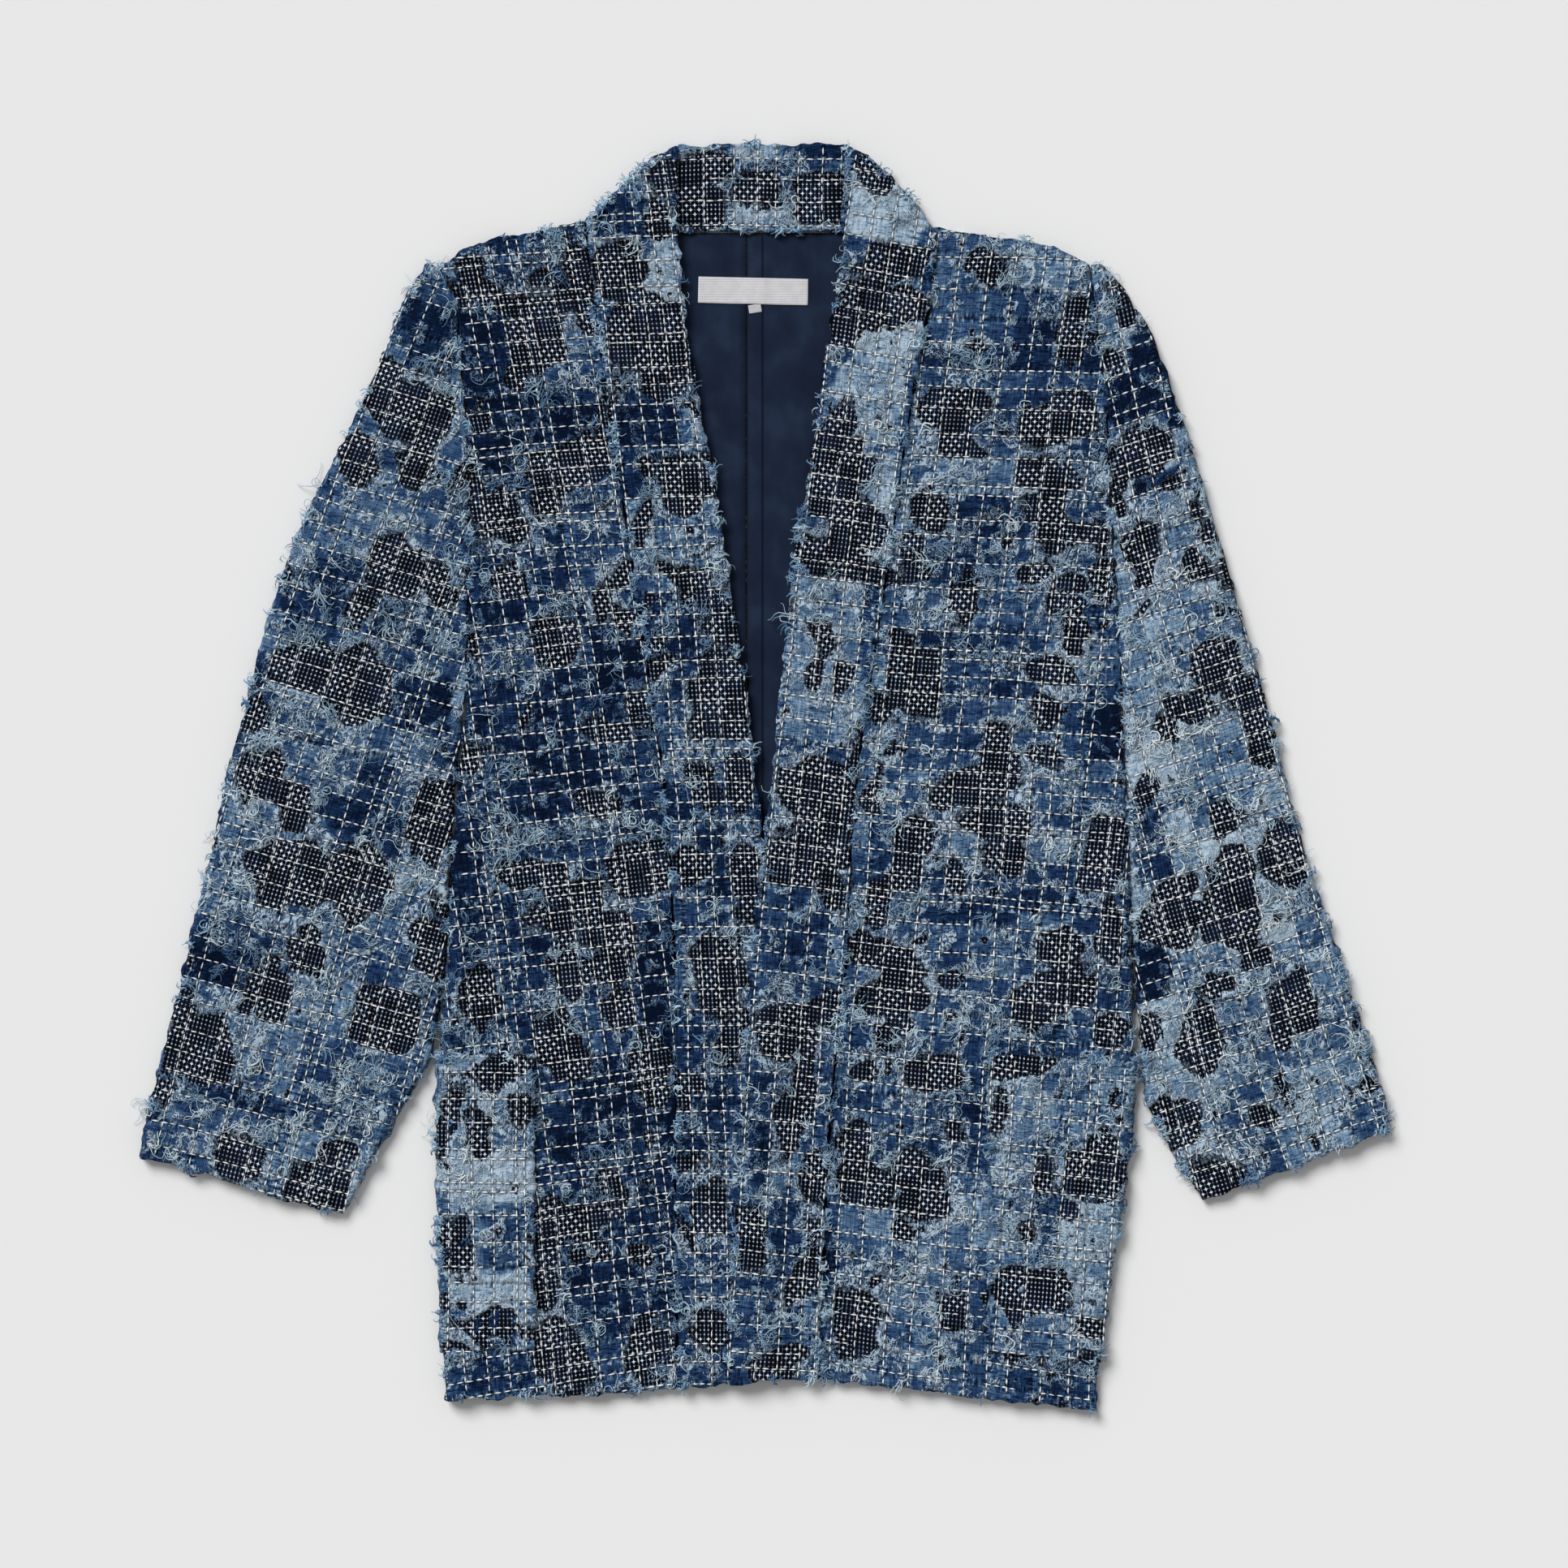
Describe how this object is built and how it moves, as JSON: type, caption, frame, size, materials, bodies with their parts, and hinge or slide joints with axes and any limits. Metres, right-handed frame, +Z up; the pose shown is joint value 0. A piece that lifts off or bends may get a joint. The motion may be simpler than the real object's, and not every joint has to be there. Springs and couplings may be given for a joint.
{
  "type": "patched boro jacket laid flat",
  "caption": "Open band-collared jacket of patched, stitched cloth laid flat on its back, sleeves at its sides, with side patch pockets and a plain lining.",
  "frame": {"origin": "middle of the bounding box of the flat jacket, at the table it lies on", "axes": "+Z up off the table, +Y towards the collar, +X towards the wearer's left sleeve"},
  "size_m": [0.828, 0.8404, 0.0136],
  "materials": {
    "boro_deep": "matt, deep indigo patches over cross-woven cotton",
    "boro_mid": "matt, mid indigo patches over cross-woven cotton",
    "boro_pale": "matt, washed pale indigo patches, frayed",
    "lining_twill": "soft fine twill",
    "label_satin": "woven satin, bare"
  },
  "bodies": {
    "root": {"front_right": "boro_deep", "front_left": "boro_mid", "back_right": "boro_mid", "back_left": "boro_mid", "sleeve_right": "boro_mid", "sleeve_left": "boro_mid", "band_right": "boro_deep", "band_left": "boro_mid", "band_neck": "boro_mid", "pocket_right": "boro_pale", "pocket_left": "boro_pale", "lining_right": "lining_twill", "lining_left": "lining_twill", "label": "label_satin", "size_tab": "label_satin"}
  },
  "joints": []
}
